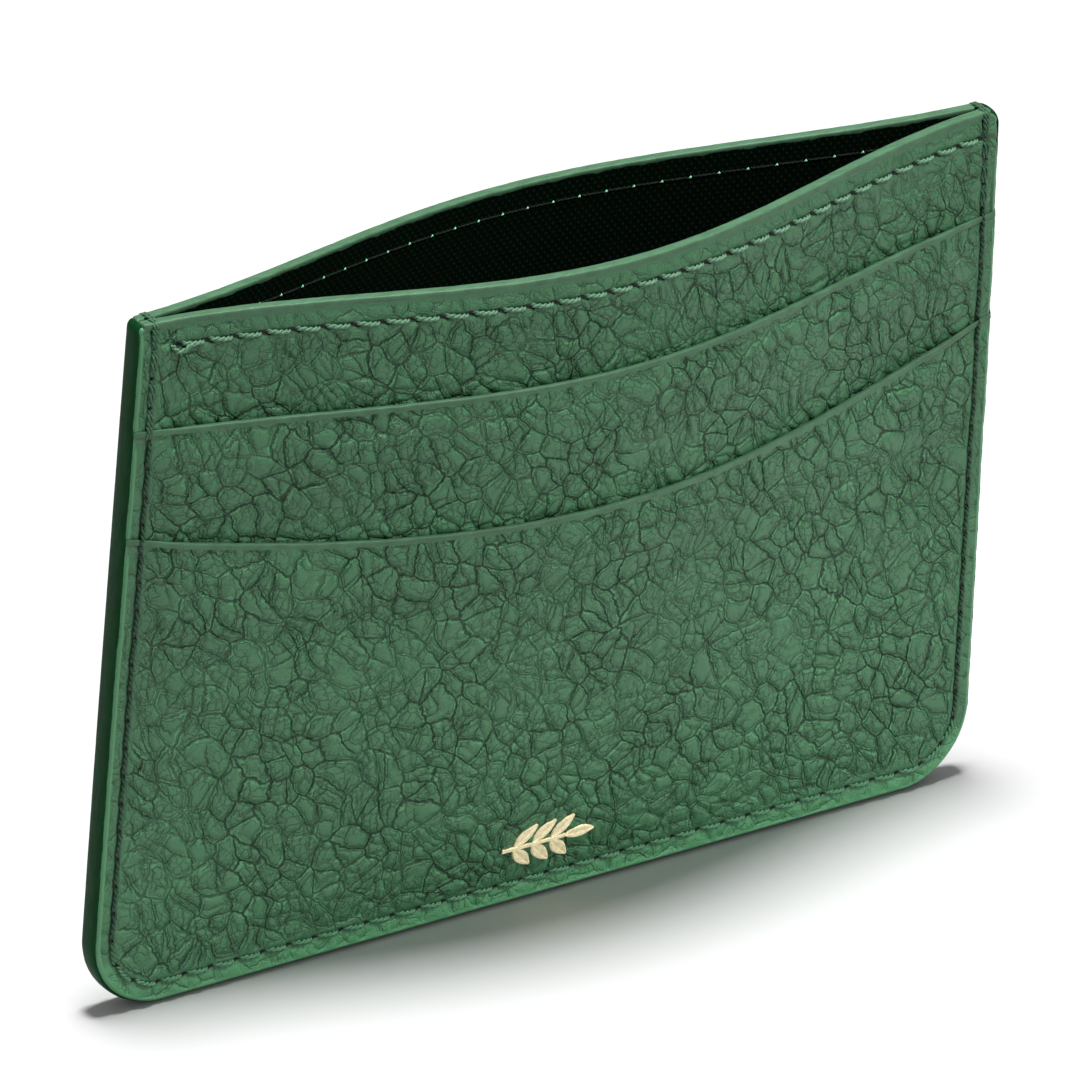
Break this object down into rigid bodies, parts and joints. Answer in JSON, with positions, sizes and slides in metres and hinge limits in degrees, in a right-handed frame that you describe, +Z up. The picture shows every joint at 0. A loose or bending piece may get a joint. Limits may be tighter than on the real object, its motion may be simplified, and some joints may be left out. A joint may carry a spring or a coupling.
{
  "type": "leather card holder",
  "caption": "Flat leather card holder standing slightly open, with a lined middle pocket, curved card slots on the front and round lower corners.",
  "frame": {"origin": "middle of the flat bottom edge that the holder stands on", "axes": "+X along the width to the right seen from the front, -Y out of the front face with the card slots, +Z up to the mouth"},
  "size_m": [0.0998, 0.0203, 0.0723],
  "materials": {
    "leather": "semi-matt pebbled green leather with dark creases",
    "lining": "near-black green woven lining with a dotted weave",
    "edge_paint": "smooth green acrylic edge paint with a soft shine",
    "thread": "green waxed polyester thread",
    "gold_foil": "pale gold hot foil pressed into the grain"
  },
  "bodies": {
    "root": {"rear_panel": "leather", "rear_lining": "lining", "front_lining": "lining", "upper_slot_backing": "lining", "mouth_strip": "leather", "lower_slot_backing": "lining", "middle_strip": "leather", "lower_panel": "leather", "perimeter_edge_paint": "edge_paint", "rear_mouth_edge_paint": "edge_paint", "front_mouth_edge_paint": "edge_paint", "upper_slot_edge_paint": "edge_paint", "lower_slot_edge_paint": "edge_paint", "perimeter_needle_thread": "thread", "perimeter_bobbin_thread": "thread", "left_lock_stitches": "thread", "right_lock_stitches": "thread", "front_mouth_needle_thread": "thread", "front_mouth_bobbin_thread": "thread", "rear_mouth_needle_thread": "thread", "rear_mouth_bobbin_thread": "thread", "foil_motif": "gold_foil"}
  },
  "joints": []
}
